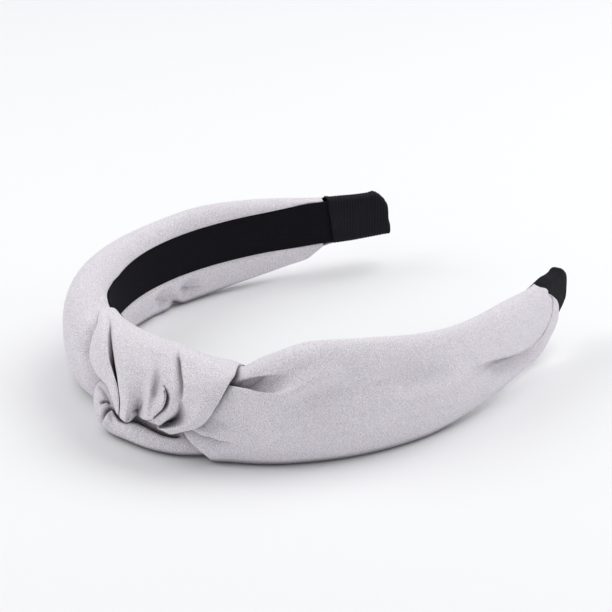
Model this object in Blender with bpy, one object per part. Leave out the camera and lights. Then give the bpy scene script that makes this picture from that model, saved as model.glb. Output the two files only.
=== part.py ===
"""Knotted headband, lying on its side edge with the knot towards -Y and the open ends towards +Y.

A thin sprung plastic hoop runs from tip to tip. A wide soft cloth strip is folded round it as a
full sleeve on each arm and tied in a knot at the crown. A flat ribbon lines the inner face, and a
folded ribbon caps each tip. Places along the band are given as (s, n, z): s is the arc length from
the crown, positive towards the +X arm, n the distance outwards from the hoop's middle surface and
z the height above the hoop's mid plane.
"""

import math

import bmesh
import bpy
import numpy as np

for item in list(bpy.data.objects):
    bpy.data.objects.remove(item, do_unlink=True)

# Sprung hoop, with its radius at equal steps from the crown to the tip
HOOP_HALF_LENGTH = 0.1864
CROWN_RADIUS = 0.0795
SHOULDER_RADIUS = 0.0560
TEMPLE_RADIUS = 0.0660
SIDE_RADIUS = 0.0830
LOWER_SIDE_RADIUS = 0.1210
ARM_RADIUS = 0.3150
TIP_RADIUS = 5.0000
CORE_WIDTH = 0.0130
CORE_THICKNESS = 0.0016
CORE_EDGE_ROUND = 0.0004
CORE_CORNER_RADIUS = 0.0045

# Gap kept between pieces that lie on each other
CLEARANCE = 0.0003

# Lining ribbon on the inner face
LINING_WIDTH = 0.0160
LINING_THICKNESS = 0.0006
LINING_STEP_LENGTH = 0.0056

# Folded ribbon over each tip
TIP_COVER_LENGTH = 0.0240
TIP_SLACK = 0.0010
TIP_RIBBON_THICKNESS = 0.0006
TIP_UPPER_CORNER = 0.0065
TIP_LOWER_CORNER = 0.0025

# Cloth strip
CLOTH_THICKNESS = 0.0008
CLOTH_ROUNDNESS = 0.92
LIP_REACH = 0.0040
LIP_STEP = 0.0001
REST_HEIGHT = 0.0203
REST_FLAT_DEPTH = 0.0005
ROLL_DEPTH = 0.0022
ROLL_RISE_LENGTH = 0.0250

# Cloth strip where it runs under the knot: its reach over the hoop's edges and outer face
KNOT_OVER_TOP = 0.0015
KNOT_UNDER_BOTTOM = 0.0033
KNOT_FRONT = 0.0125
SLEEVE_MEETING_GAP = 0.0010
LEFT_FLARE_START = 0.0080
RIGHT_FLARE_START = 0.0230

# Open sleeves beyond the knot: share of the sleeve's run, height above and below the mid plane,
# and fullness outwards
RESTING = REST_HEIGHT + REST_FLAT_DEPTH
LEFT_FULLNESS = (
    (0.00, 0.0094, 0.0150, 0.0135),
    (0.10, 0.0124, 0.0196, 0.0128),
    (0.25, 0.0136, RESTING, 0.0108),
    (0.47, 0.0145, RESTING, 0.0074),
    (0.62, 0.0138, 0.0186, 0.0058),
    (0.77, 0.0126, 0.0166, 0.0050),
    (0.90, 0.0106, 0.0142, 0.0042),
    (1.00, 0.0096, 0.0104, 0.0036),
)
RIGHT_FULLNESS = (
    (0.00, 0.0092, RESTING, 0.0135),
    (0.08, 0.0155, RESTING, 0.0130),
    (0.20, 0.0200, RESTING, 0.0110),
    (0.34, 0.0185, RESTING, 0.0086),
    (0.47, 0.0158, RESTING, 0.0068),
    (0.62, 0.0130, 0.0194, 0.0056),
    (0.77, 0.0116, 0.0180, 0.0048),
    (0.90, 0.0104, 0.0154, 0.0042),
    (1.00, 0.0096, 0.0112, 0.0036),
)

# Pleats of the sleeves: level at the start and at the end, depth and half width
KNOT_PLEAT_START_LEVEL = 0.0062
KNOT_PLEAT_END_LEVEL = 0.0086
KNOT_PLEAT_LENGTH = 0.0420
KNOT_PLEAT_DEPTH = 0.0050
KNOT_PLEAT_WIDTH = 0.0034
TIP_PLEAT_START_LEVEL = -0.0040
TIP_PLEAT_END_LEVEL = -0.0080
TIP_PLEAT_LENGTH = 0.0550
TIP_PLEAT_DEPTH = 0.0016
TIP_PLEAT_WIDTH = 0.0030

# Wrap of the knot: reach along the hoop on its upper edge, at the front and where it is gathered
WRAP_LEFT = 0.0270
WRAP_RIGHT = 0.0360
FRONT_LEFT = 0.0105
FRONT_RIGHT = 0.0330
GATHER_LEFT = 0.0030
GATHER_RIGHT = 0.0255
WRAP_TUCK = 0.0045
WRAP_THICKNESS = 0.0010
WRAP_CLEARANCE = 0.0005
WRAP_BULGE = 0.0052
WRAP_FOLD_DEPTH = 0.0022

# Wrap's ends by the share of its way round the band, from the upper tucked edge to the lower one
WRAP_ENDS = (
    (0.00, -WRAP_LEFT, WRAP_RIGHT),
    (0.17, -WRAP_LEFT, WRAP_RIGHT),
    (0.50, -FRONT_LEFT, FRONT_RIGHT),
    (0.78, -GATHER_LEFT, GATHER_RIGHT),
    (1.00, -GATHER_LEFT, GATHER_RIGHT),
)

# Wrap's fullest place and spread, as shares of its way round and of its way across
FULL_PLACE = 0.57
FULL_SPREAD = 0.19
FULL_LEFT_RISE = 0.20
FULL_RIGHT_RISE = 0.40
FOLD_SPREAD = 0.14

# Folds of the wrap: share of the way across and half width
WRAP_FOLDS = ((0.20, 0.05), (0.48, 0.06), (0.70, 0.06))

# Roll under the wrap, from its left end to its right one: (s, n, height over the table, half thickness)
ROLL_ROUTE = (
    (-0.0170, 0.0085, 0.0105, 0.0030),
    (-0.0115, 0.0112, 0.0084, 0.0048),
    (-0.0040, 0.0124, 0.0058, 0.0056),
    (0.0045, 0.0122, 0.0052, 0.0057),
    (0.0130, 0.0112, 0.0050, 0.0055),
    (0.0215, 0.0092, 0.0048, 0.0053),
    (0.0300, 0.0070, 0.0046, 0.0050),
    (0.0380, 0.0056, 0.0036, 0.0036),
)
ROLL_ROOM = 0.00045
ROLL_END_CLOSING = 0.15
ROLL_END_STEPS = 2
ROUTE_REACH = 0.01

# Facets
HOOP_SAMPLES = 801
HOOP_OVERRUN = 0.0060
HOOP_STEPS = 72
SLEEVE_STEPS_UNDER_KNOT = 13
SLEEVE_STEPS_OPEN = 20
FRONT_POINTS = 13
EDGE_POINTS = 4
WRAP_STEPS_ACROSS = 16
WRAP_POINTS_FRONT = 10
ROLL_STEPS = 34
ROLL_SIDES = 12
ARC_POINTS = 4
SHARP_ANGLE = math.radians(40)

# Colours and roughness
CLOTH_COLOUR = (0.62, 0.59, 0.66)
LINING_COLOUR = (0.008, 0.008, 0.011)
TIP_COLOUR = (0.014, 0.014, 0.018)
CORE_COLOUR = (0.030, 0.030, 0.032)
CLOTH_ROUGHNESS = 0.9
RIBBON_ROUGHNESS = 0.8
CORE_ROUGHNESS = 0.45

# Derived places
CORE_FACE = CORE_THICKNESS / 2
LIP_OUTER = CORE_FACE + CLEARANCE
LIP_INNER = LIP_OUTER + CLOTH_THICKNESS
SLOT_HALF = CORE_WIDTH / 2 + CLEARANCE
LINING_HALF = LINING_WIDTH / 2
KNOT_TOP = CORE_WIDTH / 2 + KNOT_OVER_TOP
KNOT_BOTTOM = CORE_WIDTH / 2 + KNOT_UNDER_BOTTOM
SLEEVE_END = HOOP_HALF_LENGTH - TIP_COVER_LENGTH - CLEARANCE


def smooth(value):
    """Ease from 0 to 1 with level ends."""
    value = min(max(value, 0.0), 1.0)
    return value * value * (3 - 2 * value)


def bump(value, centre, half_width):
    """Bell of height 1 round the centre."""
    return math.exp(-((value - centre) / half_width) ** 2)


def path_of_hoop():
    """Plan of one arm of the hoop from its radii, as arc lengths, headings and points."""
    radii = np.array([
        CROWN_RADIUS, SHOULDER_RADIUS, TEMPLE_RADIUS, SIDE_RADIUS,
        LOWER_SIDE_RADIUS, ARM_RADIUS, TIP_RADIUS,
    ])
    arc = np.linspace(0.0, HOOP_HALF_LENGTH + HOOP_OVERRUN, HOOP_SAMPLES)
    stations = np.linspace(0.0, HOOP_HALF_LENGTH, len(radii))
    bend = np.interp(arc, stations, 1 / radii)
    step = arc[1] - arc[0]
    heading = np.concatenate([[0.0], np.cumsum((bend[1:] + bend[:-1]) / 2 * step)])
    run_x = (np.cos(heading[1:]) + np.cos(heading[:-1])) / 2 * step
    run_y = (np.sin(heading[1:]) + np.sin(heading[:-1])) / 2 * step
    x = np.concatenate([[0.0], np.cumsum(run_x)])
    y = np.concatenate([[0.0], np.cumsum(run_y)])
    return arc, heading, x, y


HOOP_ARC, HOOP_HEADING, HOOP_X, HOOP_Y = path_of_hoop()


def place(s, n, z):
    """Point of the band at arc length s, n outwards and z up, on the arm that s names."""
    side = -1.0 if s < 0 else 1.0
    along = abs(s)
    heading = np.interp(along, HOOP_ARC, HOOP_HEADING)
    x = np.interp(along, HOOP_ARC, HOOP_X) + n * math.sin(heading)
    y = np.interp(along, HOOP_ARC, HOOP_Y) - n * math.cos(heading)
    return side * float(x), float(y), max(z, -REST_HEIGHT)


def monotone(x, rows, column):
    """Smooth value from rows of (place, value, ...), without overshoot between them."""
    xs = [row[0] for row in rows]
    ys = [row[column] for row in rows]
    if x <= xs[0]:
        return ys[0]
    if x >= xs[-1]:
        return ys[-1]
    slopes = [(b - a) / (d - c) for a, b, c, d in zip(ys, ys[1:], xs, xs[1:])]
    tangents = [0.0] * len(xs)
    for index in range(1, len(xs) - 1):
        before, after = slopes[index - 1], slopes[index]
        if before * after > 0:
            tangents[index] = 2 * before * after / (before + after)
    index = max(i for i in range(len(xs) - 1) if xs[i] <= x)
    width = xs[index + 1] - xs[index]
    t = (x - xs[index]) / width
    return (
        (2 * t**3 - 3 * t**2 + 1) * ys[index]
        + (t**3 - 2 * t**2 + t) * width * tangents[index]
        + (3 * t**2 - 2 * t**3) * ys[index + 1]
        + (t**3 - t**2) * width * tangents[index + 1]
    )


def fullness_rows(edge, flare_start, shares):
    """Rows of one sleeve by arc length, with its run under the knot in front of them."""
    under = (KNOT_TOP, KNOT_BOTTOM, KNOT_FRONT)
    rows = [(0.0, *under), (flare_start, *under)]
    rows += [(edge + row[0] * (SLEEVE_END - edge), *row[1:]) for row in shares]
    return rows


LEFT_ROWS = fullness_rows(WRAP_LEFT, LEFT_FLARE_START, LEFT_FULLNESS)
RIGHT_ROWS = fullness_rows(WRAP_RIGHT, RIGHT_FLARE_START, RIGHT_FULLNESS)


def quarter(centre, reach, start, end, count):
    """Points on part of a rounded quarter, by angle in degrees, the end one left out."""
    points = []
    for index in range(count):
        angle = math.radians(start + (end - start) * index / count)
        cosine, sine = math.cos(angle), math.sin(angle)
        points.append((
            centre[0] + reach[0] * math.copysign(abs(cosine) ** CLOTH_ROUNDNESS, cosine),
            centre[1] + reach[1] * math.copysign(abs(sine) ** CLOTH_ROUNDNESS, sine),
        ))
    return points


def sleeve_outline(s, front_points, edge_points):
    """Outside of the cloth at s as (n, z), from the upper inner edge over the front to the lower one."""
    along = abs(s)
    rows = LEFT_ROWS if s < 0 else RIGHT_ROWS
    edge = WRAP_LEFT if s < 0 else WRAP_RIGHT
    top = monotone(along, rows, 1)
    bottom = monotone(along, rows, 2)
    front = monotone(along, rows, 3)
    full = smooth((along - edge) / ROLL_RISE_LENGTH) * smooth((SLEEVE_END - along) / ROLL_RISE_LENGTH)
    inner = -LIP_INNER - LIP_STEP - ROLL_DEPTH * full
    ridge = (front + inner) / 2
    upper_step = min(LINING_HALF + CLEARANCE, top - CLOTH_THICKNESS)
    lower_step = min(LINING_HALF + CLEARANCE, bottom - CLOTH_THICKNESS)
    points = quarter((ridge, upper_step), (ridge - inner, top - upper_step), 180, 90, edge_points)
    points += quarter((ridge, 0.0), (front - ridge, top), 90, 0, front_points)
    points += quarter((ridge, 0.0), (front - ridge, bottom), 0, -90, front_points)
    points += quarter((ridge, -lower_step), (ridge - inner, bottom - lower_step), -90, -180, edge_points)
    points.append((inner, -lower_step))
    return points


def pleat_depth(s, z):
    """How far the pleats draw the sleeve's front in at s and z."""
    along = abs(s)
    edge = WRAP_LEFT if s < 0 else WRAP_RIGHT
    from_knot = (along - edge) / KNOT_PLEAT_LENGTH
    climb = KNOT_PLEAT_END_LEVEL - KNOT_PLEAT_START_LEVEL
    level = KNOT_PLEAT_START_LEVEL + climb * max(from_knot, 0.0)
    fade = smooth(1 - from_knot) * smooth((along - edge) / WRAP_CLEARANCE)
    depth = KNOT_PLEAT_DEPTH * fade * bump(z, level, KNOT_PLEAT_WIDTH)
    from_tip = (SLEEVE_END - along) / TIP_PLEAT_LENGTH
    climb = TIP_PLEAT_END_LEVEL - TIP_PLEAT_START_LEVEL
    level = TIP_PLEAT_START_LEVEL + climb * max(from_tip, 0.0)
    return depth + TIP_PLEAT_DEPTH * smooth(1 - from_tip) * bump(z, level, TIP_PLEAT_WIDTH)


def sleeve_section(s):
    """Closed section of a sleeve: its outside with pleats, then the slot that holds the hoop."""
    outside = sleeve_outline(s, FRONT_POINTS, EDGE_POINTS)
    pleated = []
    for index, (n, z) in enumerate(outside):
        on_front = EDGE_POINTS < index < EDGE_POINTS + 2 * FRONT_POINTS
        pleated.append((n - pleat_depth(s, z), z) if on_front else (n, z))
    upper_step = outside[0][1]
    lower_step = outside[-1][1]
    slot = [
        (-LIP_INNER, lower_step),
        (-LIP_INNER, -LIP_REACH),
        (-LIP_OUTER, -LIP_REACH),
        (-LIP_OUTER, -SLOT_HALF),
        (LIP_OUTER, -SLOT_HALF),
        (LIP_OUTER, SLOT_HALF),
        (-LIP_OUTER, SLOT_HALF),
        (-LIP_OUTER, LIP_REACH),
        (-LIP_INNER, LIP_REACH),
        (-LIP_INNER, upper_step),
    ]
    return pleated + slot


def skin(bm, rings):
    """Quads between successive closed rings of points."""
    loops = [[bm.verts.new(point) for point in ring] for ring in rings]
    count = len(loops[0])
    for lower, upper in zip(loops, loops[1:]):
        for index in range(count):
            following = (index + 1) % count
            bm.faces.new((lower[index], lower[following], upper[following], upper[index]))
    return loops


def plain_material(name, colour, roughness):
    """Principled material of one sub-part."""
    material = bpy.data.materials.new(name)
    material.use_nodes = True
    shader = material.node_tree.nodes["Principled BSDF"]
    shader.inputs["Base Color"].default_value = (*colour, 1.0)
    shader.inputs["Roughness"].default_value = roughness
    shader.inputs["Metallic"].default_value = 0.0
    return material


def finish(bm, name, colour, roughness):
    """Turn a built shape into one named, smooth object with outward faces."""
    bmesh.ops.recalc_face_normals(bm, faces=bm.faces)
    bmesh.ops.triangulate(bm, faces=bm.faces)
    mesh = bpy.data.meshes.new(name)
    bm.to_mesh(mesh)
    bm.free()
    mesh.materials.append(plain_material(name, colour, roughness))
    mesh.shade_smooth()
    mesh.set_sharp_from_angle(angle=SHARP_ANGLE)
    piece = bpy.data.objects.new(name, mesh)
    bpy.context.collection.objects.link(piece)
    return piece


def narrowing(distance_to_end, corner_radius):
    """How much a rounded corner takes off the half width at a distance from the end."""
    if distance_to_end >= corner_radius:
        return 0.0
    gone = corner_radius - max(distance_to_end, 0.0)
    return corner_radius - math.sqrt(corner_radius**2 - gone**2)


def end_stations(end, corner_radius):
    """Arc lengths through a rounded end, closer together towards it."""
    turns = [math.radians(90 * index / ARC_POINTS) for index in range(ARC_POINTS + 1)]
    return [end - corner_radius * (1 - math.sin(turn)) for turn in turns]


def build_core():
    """Flat sprung strip with rounded edges and rounded tips."""
    half = CORE_WIDTH / 2
    straight = np.linspace(0.0, HOOP_HALF_LENGTH - CORE_CORNER_RADIUS, HOOP_STEPS // 2, endpoint=False)
    arm = list(straight) + end_stations(HOOP_HALF_LENGTH, CORE_CORNER_RADIUS)
    stations = [-s for s in reversed(arm[1:])] + arm
    rings = []
    for s in stations:
        high = half - narrowing(HOOP_HALF_LENGTH - abs(s), CORE_CORNER_RADIUS)
        flat = high - CORE_EDGE_ROUND
        face = CORE_FACE - CORE_EDGE_ROUND
        section = [
            (CORE_FACE, -flat), (CORE_FACE, flat), (face, high), (-face, high),
            (-CORE_FACE, flat), (-CORE_FACE, -flat), (-face, -high), (face, -high),
        ]
        rings.append([place(s, n, z) for n, z in section])
    bm = bmesh.new()
    loops = skin(bm, rings)
    bm.faces.new(loops[0])
    bm.faces.new(loops[-1])
    return finish(bm, "core_hoop", CORE_COLOUR, CORE_ROUGHNESS)


def build_lining():
    """Thin ribbon along the inner face, stepping over the wrap's tucked edges at the crown."""
    end = SLEEVE_END
    face = LIP_INNER + CLEARANCE
    step = WRAP_CLEARANCE + WRAP_THICKNESS
    rings = []
    for s in np.linspace(-end, end, HOOP_STEPS + 1):
        reach = WRAP_LEFT if s < 0 else WRAP_RIGHT
        outer = face + step * smooth((reach + 2 * LINING_STEP_LENGTH - abs(s)) / LINING_STEP_LENGTH)
        inner = outer + LINING_THICKNESS
        section = [
            (-outer, -LINING_HALF), (-outer, LINING_HALF),
            (-inner, LINING_HALF), (-inner, -LINING_HALF),
        ]
        rings.append([place(s, n, z) for n, z in section])
    bm = bmesh.new()
    loops = skin(bm, rings)
    bm.faces.new(loops[0])
    bm.faces.new(loops[-1])
    return finish(bm, "lining_ribbon", LINING_COLOUR, RIBBON_ROUGHNESS)


def build_tip_cover(name, side):
    """Ribbon folded over one tip: a flat pocket, open towards the crown, its upper corner cut round."""
    start = HOOP_HALF_LENGTH - TIP_COVER_LENGTH
    pocket_end = HOOP_HALF_LENGTH + CLEARANCE
    pocket_out = CORE_FACE + CLEARANCE
    pocket_in = LIP_INNER + CLEARANCE
    pocket_half = CORE_WIDTH / 2 + TIP_SLACK

    def pocket_ring(s, grow):
        from_end = pocket_end + grow - s
        high = pocket_half + grow - narrowing(from_end, TIP_UPPER_CORNER)
        low = pocket_half + grow - narrowing(from_end, TIP_LOWER_CORNER)
        out, inn = pocket_out + grow, pocket_in + grow
        fold = TIP_RIBBON_THICKNESS
        section = [
            (out, -low + fold), (out, high - fold), (out - fold, high),
            (-inn + fold, high), (-inn, high - fold), (-inn, -low + fold),
            (-inn + fold, -low), (out - fold, -low),
        ]
        return [place(side * s, n, z) for n, z in section]

    def pocket_skin(grow):
        end = pocket_end + grow
        stations = [start, (start + end - TIP_UPPER_CORNER) / 2]
        stations += sorted(set(end_stations(end, TIP_UPPER_CORNER) + end_stations(end, TIP_LOWER_CORNER)))
        return skin(bm, [pocket_ring(s, grow) for s in stations])

    bm = bmesh.new()
    outside = pocket_skin(TIP_RIBBON_THICKNESS)
    inside = pocket_skin(0.0)
    bm.faces.new(outside[-1])
    bm.faces.new(inside[-1])
    count = len(outside[0])
    for index in range(count):
        following = (index + 1) % count
        bm.faces.new((outside[0][index], outside[0][following], inside[0][following], inside[0][index]))
    return finish(bm, name, TIP_COLOUR, RIBBON_ROUGHNESS)


def build_sleeve(name, side):
    """Full cloth sleeve of one arm, from under the knot to the tip cover."""
    start = SLEEVE_MEETING_GAP / 2
    edge = WRAP_LEFT if side < 0 else WRAP_RIGHT
    under = np.linspace(start, edge, SLEEVE_STEPS_UNDER_KNOT, endpoint=False)
    open_run = np.linspace(edge, SLEEVE_END, SLEEVE_STEPS_OPEN)
    stations = list(under) + list(open_run)
    rings = [[place(side * s, n, z) for n, z in sleeve_section(side * s)] for s in stations]
    bm = bmesh.new()
    loops = skin(bm, rings)
    bm.faces.new(loops[0])
    bm.faces.new(loops[-1])
    return finish(bm, name, CLOTH_COLOUR, CLOTH_ROUGHNESS)


def wrap_path(s):
    """Run of the wrap's inner face round the band at s, with its edges tucked under the lining."""
    path = sleeve_outline(s, WRAP_POINTS_FRONT, EDGE_POINTS)
    inner = path[0][0]
    return [(inner, WRAP_TUCK)] + path + [(inner, -WRAP_TUCK)]


def wrap_normals(path):
    """Outward directions along a run of (n, z) points."""
    normals = []
    for index in range(len(path)):
        before = path[max(index - 1, 0)]
        after = path[min(index + 1, len(path) - 1)]
        run = (after[0] - before[0], after[1] - before[1])
        length = math.hypot(*run)
        normals.append((-run[1] / length, run[0] / length))
    return normals


def wrap_thickness(across, share):
    """Cloth of the wrap and the knot's layers under it, fullest low on the front, with its folds."""
    sides = smooth(across / FULL_LEFT_RISE) * smooth((1 - across) / FULL_RIGHT_RISE)
    fullness = WRAP_BULGE * bump(share, FULL_PLACE, FULL_SPREAD) * sides
    folds = sum(bump(across, centre, half_width) for centre, half_width in WRAP_FOLDS)
    drawn_in = WRAP_FOLD_DEPTH * folds * bump(share, FULL_PLACE, FOLD_SPREAD) * sides
    return WRAP_THICKNESS + max(fullness - drawn_in, 0.0)


def build_wrap():
    """Band of cloth over the crown, pulled together below and tucked behind the roll."""
    count = len(wrap_path(0.0))
    rings = []
    for step in range(WRAP_STEPS_ACROSS + 1):
        across = step / WRAP_STEPS_ACROSS
        inner_row = []
        outer_row = []
        for index in range(count):
            share = index / (count - 1)
            left = monotone(share, WRAP_ENDS, 1)
            right = monotone(share, WRAP_ENDS, 2)
            s = left + (right - left) * across
            path = wrap_path(s)
            n, z = path[index]
            out_n, out_z = wrap_normals(path)[index]
            near = WRAP_CLEARANCE
            far = near + wrap_thickness(across, share)
            inner_row.append(place(s, n + out_n * near, z + out_z * near))
            outer_row.append(place(s, n + out_n * far, z + out_z * far))
        rings.append(outer_row + inner_row[::-1])
    bm = bmesh.new()
    loops = skin(bm, rings)
    for ring in (loops[0], loops[-1]):
        for index in range(count - 1):
            bm.faces.new((ring[index], ring[index + 1], ring[-2 - index], ring[-1 - index]))
    return finish(bm, "knot_wrap", CLOTH_COLOUR, CLOTH_ROUGHNESS)


def route_point(t):
    """Point and half thickness on the roll's route at a share t, on a smooth curve through it."""
    spans = len(ROLL_ROUTE) - 1
    index = min(int(t * spans), spans - 1)
    u = t * spans - index
    rows = [ROLL_ROUTE[min(max(index + shift, 0), spans)] for shift in (-1, 0, 1, 2)]
    values = []
    for a, b, c, d in zip(*rows):
        turning = (2 * a - 5 * b + 4 * c - d) * u**2 + (3 * b - a - 3 * c + d) * u**3
        values.append(b + 0.5 * ((c - a) * u + turning))
    s, n, height, half = values
    return np.array(place(s, n, height - REST_HEIGHT)), half


def grown_cutter(piece):
    """Hidden copy of a piece, grown by the room kept round it, to cut its neighbour with."""
    bm = bmesh.new()
    bm.from_mesh(piece.data)
    bm.normal_update()
    for vertex in bm.verts:
        vertex.co += vertex.normal * ROLL_ROOM
    mesh = bpy.data.meshes.new(piece.name + "_room")
    bm.to_mesh(mesh)
    bm.free()
    cutter = bpy.data.objects.new(mesh.name, mesh)
    cutter.hide_render = True
    cutter.display_type = "WIRE"
    bpy.context.collection.objects.link(cutter)
    return cutter


def build_roll(neighbours):
    """Rolled run of the cloth under the wrap, from the left sleeve to under the right one's edge."""
    rings = []
    for step in range(ROLL_STEPS + 1):
        t = step / ROLL_STEPS
        here, half = route_point(t)
        ahead = route_point(min(t + ROUTE_REACH, 1.0))[0]
        behind = route_point(max(t - ROUTE_REACH, 0.0))[0]
        tangent = (ahead - behind) / np.linalg.norm(ahead - behind)
        outwards = np.array([0.0, -1.0, 0.0])
        outwards = outwards - tangent * float(outwards @ tangent)
        outwards /= np.linalg.norm(outwards)
        across = np.cross(tangent, outwards)
        from_left = smooth(step / ROLL_END_STEPS + ROLL_END_CLOSING)
        from_right = smooth((ROLL_STEPS - step) / ROLL_END_STEPS + ROLL_END_CLOSING)
        radius = half * math.sqrt(from_left * from_right)
        ring = []
        for side in range(ROLL_SIDES):
            angle = 2 * math.pi * (side + 0.5) / ROLL_SIDES
            point = here + radius * (math.cos(angle) * outwards + math.sin(angle) * across)
            ring.append((point[0], point[1], max(point[2], -REST_HEIGHT)))
        rings.append(ring)
    bm = bmesh.new()
    loops = skin(bm, rings)
    bm.faces.new(loops[0])
    bm.faces.new(loops[-1])
    roll = finish(bm, "knot_roll", CLOTH_COLOUR, CLOTH_ROUGHNESS)
    for neighbour in neighbours:
        cut = roll.modifiers.new("room_for_" + neighbour.name, "BOOLEAN")
        cut.operation = "DIFFERENCE"
        cut.object = grown_cutter(neighbour)
    return roll


core = build_core()
lining = build_lining()
left_tip = build_tip_cover("tip_ribbon_left", -1)
right_tip = build_tip_cover("tip_ribbon_right", 1)
left_sleeve = build_sleeve("sleeve_left", -1)
right_sleeve = build_sleeve("sleeve_right", 1)
wrap = build_wrap()
roll = build_roll([wrap, left_sleeve, right_sleeve])

# The band stands on its side edge, centred over the origin
corners = [
    vertex.co
    for piece in (core, left_tip, right_tip, left_sleeve, right_sleeve, wrap, roll)
    for vertex in piece.data.vertices
]
middle_x = (min(c.x for c in corners) + max(c.x for c in corners)) / 2
middle_y = (min(c.y for c in corners) + max(c.y for c in corners)) / 2
stand = bpy.data.objects.new("headband", None)
stand.location = (-middle_x, -middle_y, REST_HEIGHT)
bpy.context.collection.objects.link(stand)
for piece in list(bpy.context.collection.objects):
    if piece != stand:
        piece.parent = stand
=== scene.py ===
"""Knotted headband of pale lavender-grey crepe with a black lining, lying on its edge on a white table.

Places along the band are (s, n, z) in millimetres: s runs along the hoop from the crown, positive
towards the near arm, n points outwards from the hoop and z is the height over its mid plane.
"""

import math

import bpy
import numpy as np
from mathutils import Matrix, Vector


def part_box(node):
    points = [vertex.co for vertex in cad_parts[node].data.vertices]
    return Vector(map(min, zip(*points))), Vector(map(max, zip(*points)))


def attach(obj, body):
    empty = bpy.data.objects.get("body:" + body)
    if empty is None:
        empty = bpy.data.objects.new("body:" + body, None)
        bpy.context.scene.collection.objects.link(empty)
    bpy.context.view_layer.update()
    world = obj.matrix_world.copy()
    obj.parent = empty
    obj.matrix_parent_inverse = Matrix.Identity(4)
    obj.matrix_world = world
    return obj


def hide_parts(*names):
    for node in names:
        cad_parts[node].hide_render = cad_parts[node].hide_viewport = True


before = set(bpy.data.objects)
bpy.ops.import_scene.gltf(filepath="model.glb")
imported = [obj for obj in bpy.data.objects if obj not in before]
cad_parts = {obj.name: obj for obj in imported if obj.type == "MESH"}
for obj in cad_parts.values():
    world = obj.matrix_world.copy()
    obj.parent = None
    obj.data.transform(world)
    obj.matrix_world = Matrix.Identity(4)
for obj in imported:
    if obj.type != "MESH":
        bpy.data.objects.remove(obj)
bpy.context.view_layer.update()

# Table and light of the photograph: a white sheet without an edge, one wide soft lamp over the band's
# far right side, weaker ones to the left and right, and an even pale light from all round.
MM = 0.001
TABLE_WHITE = (0.925, 0.930, 0.945, 1.0)
TABLE_HALF = 2.5
TABLE_DROP = 0.0002
LAMP_WIDTH = 0.90
LAMP_COLOUR = (1.0, 0.995, 0.985)
# Distance to the camera's right, away from it and up in metres, and power in watts
LAMPS = (
    ("high_back_lamp", 0.50, 0.30, 1.00, 5.0),
    ("left_lamp", -0.85, 0.00, 0.70, 4.0),
    ("right_lamp", 0.90, 0.00, 0.60, 1.8),
)
ROOM_LIGHT = 0.52
ROOM_COLOUR = (0.985, 0.99, 1.0, 1.0)
CAMERA_TURN = math.radians(48.5)
CAMERA_TILT = math.radians(24.4)
CAMERA_DISTANCE = 0.8206
CAMERA_LENS = 143.73
CAMERA_NEAR = 0.01
SENSOR = 36.0
# Point that the camera looks at, in metres from the crown: towards the near arm and towards the tips
AIM_ACROSS = -0.0004
AIM_INWARDS = 0.0691

scene = bpy.context.scene
scene.view_settings.view_transform = "Standard"

core_low, core_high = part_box("core_hoop")
CORE_THICKNESS = 1.6
crown_y = core_low.y + CORE_THICKNESS * MM / 2
mid_height = (core_low.z + core_high.z) / 2
camera_target = Vector((AIM_ACROSS, crown_y + AIM_INWARDS, mid_height))
camera_back = Vector((
    math.sin(CAMERA_TURN) * math.cos(CAMERA_TILT),
    -math.cos(CAMERA_TURN) * math.cos(CAMERA_TILT),
    math.sin(CAMERA_TILT),
))
camera_right = Vector((math.cos(CAMERA_TURN), math.sin(CAMERA_TURN), 0.0))
camera_up = camera_back.cross(camera_right)
camera_data = bpy.data.cameras.new("photo_camera")
camera_data.lens = CAMERA_LENS
camera_data.sensor_width = SENSOR
camera_data.clip_start = CAMERA_NEAR
camera = bpy.data.objects.new("photo_camera", camera_data)
camera_axes = Matrix((camera_right, camera_up, camera_back)).transposed().to_4x4()
camera.matrix_world = Matrix.Translation(camera_target + camera_back * CAMERA_DISTANCE) @ camera_axes
scene.collection.objects.link(camera)
scene.camera = camera

away = Vector((-math.sin(CAMERA_TURN), math.cos(CAMERA_TURN), 0.0))
for lamp_name, side, back, height, power in LAMPS:
    lamp_data = bpy.data.lights.new(lamp_name, "AREA")
    lamp_data.shape = "DISK"
    lamp_data.size = LAMP_WIDTH
    lamp_data.energy = power
    lamp_data.color = LAMP_COLOUR
    lamp = bpy.data.objects.new(lamp_name, lamp_data)
    lamp_place = camera_target + camera_right * side + away * back
    lamp_place.z = height
    lamp_facing = (lamp_place - camera_target).to_track_quat("Z", "Y")
    lamp.matrix_world = Matrix.Translation(lamp_place) @ lamp_facing.to_matrix().to_4x4()
    scene.collection.objects.link(lamp)

room = bpy.data.worlds.new("pale_room")
room.use_nodes = True
room.node_tree.nodes["Background"].inputs["Color"].default_value = ROOM_COLOUR
room.node_tree.nodes["Background"].inputs["Strength"].default_value = ROOM_LIGHT
scene.world = room

table_material = bpy.data.materials.new("white_table")
table_material.use_nodes = True
table_surface = table_material.node_tree.nodes["Principled BSDF"]
table_surface.inputs["Base Color"].default_value = TABLE_WHITE
table_surface.inputs["Roughness"].default_value = 0.9
table_surface.inputs["Specular IOR Level"].default_value = 0.1
table_mesh = bpy.data.meshes.new("white_table")
table_mesh.from_pydata(
    [(-TABLE_HALF, -TABLE_HALF, -TABLE_DROP), (TABLE_HALF, -TABLE_HALF, -TABLE_DROP),
     (TABLE_HALF, TABLE_HALF, -TABLE_DROP), (-TABLE_HALF, TABLE_HALF, -TABLE_DROP)],
    [], [(0, 1, 2, 3)],
)
table_mesh.materials.append(table_material)
table = bpy.data.objects.new("white_table", table_mesh)
scene.collection.objects.link(table)

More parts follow.
